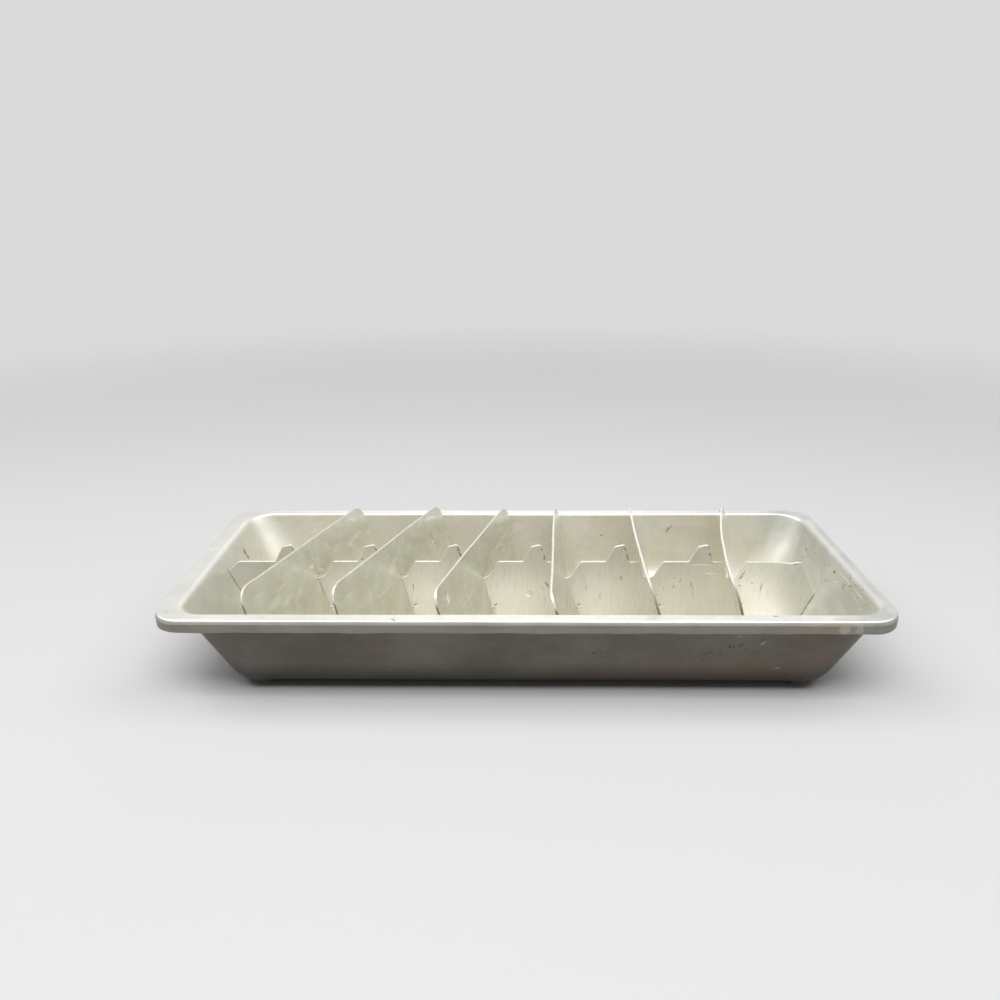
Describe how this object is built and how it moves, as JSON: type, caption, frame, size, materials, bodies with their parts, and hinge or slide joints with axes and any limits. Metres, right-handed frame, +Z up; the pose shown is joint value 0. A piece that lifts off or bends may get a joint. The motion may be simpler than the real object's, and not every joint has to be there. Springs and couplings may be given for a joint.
{
  "type": "ice cube tray",
  "caption": "Rounded metal ice cube tray whose loose dividing grid lifts out, with a lengthwise spine and crosswise fins that tip like levers to free the cubes.",
  "frame": {"origin": "middle of the tray's rectangular rim in plan, at the height of the tray's base, on the surface it stands on", "axes": "+X along the tray towards its more upright end, +Y across it, +Z up"},
  "size_m": [0.2858, 0.1142, 0.0452],
  "materials": {
    "tray_metal": "satin, worn, bright on the rim",
    "spine_metal": "brushed upright, scuffed",
    "fin_metal": "satin with fine slanting scratches"
  },
  "bodies": {
    "tray": {"tray": "tray_metal"},
    "spine": {"spine": "spine_metal"},
    "fin_1": {"fin_1": "fin_metal"},
    "fin_2": {"fin_2": "fin_metal"},
    "fin_3": {"fin_3": "fin_metal"},
    "fin_4": {"fin_4": "fin_metal"},
    "fin_5": {"fin_5": "fin_metal"},
    "fin_6": {"fin_6": "fin_metal"}
  },
  "joints": [
    {"name": "grid_lift", "type": "slide", "parent": "tray", "child": "spine", "axis": [0, 0, 1], "range_m": [0, 0.06]},
    {"name": "fin_1_tip", "type": "hinge", "parent": "spine", "child": "fin_1", "pos_m": [-0.0909, 0, 0.0286], "axis": [0.15, 0.9212, 0.359], "range_deg": [0, 46]},
    {"name": "fin_2_tip", "type": "hinge", "parent": "spine", "child": "fin_2", "pos_m": [-0.05384, 0, 0.0286], "axis": [0.1629, 0.901, 0.402], "range_deg": [0, 46]},
    {"name": "fin_3_tip", "type": "hinge", "parent": "spine", "child": "fin_3", "pos_m": [-0.01788, 0, 0.0286], "axis": [0.1334, 0.9372, 0.3222], "range_deg": [0, 46]},
    {"name": "fin_4_tip", "type": "hinge", "parent": "spine", "child": "fin_4", "pos_m": [0.01848, 0, 0.0286], "axis": [0.0305, 0.9972, 0.0683], "range_deg": [0, 46]},
    {"name": "fin_5_tip", "type": "hinge", "parent": "spine", "child": "fin_5", "pos_m": [0.05514, 0, 0.0286], "axis": [0.0174, 0.999, 0.0408], "range_deg": [0, 46]},
    {"name": "fin_6_tip", "type": "hinge", "parent": "spine", "child": "fin_6", "pos_m": [0.0916, 0, 0.0286], "axis": [0.0869, 0.9741, 0.2086], "range_deg": [0, 46]}
  ]
}
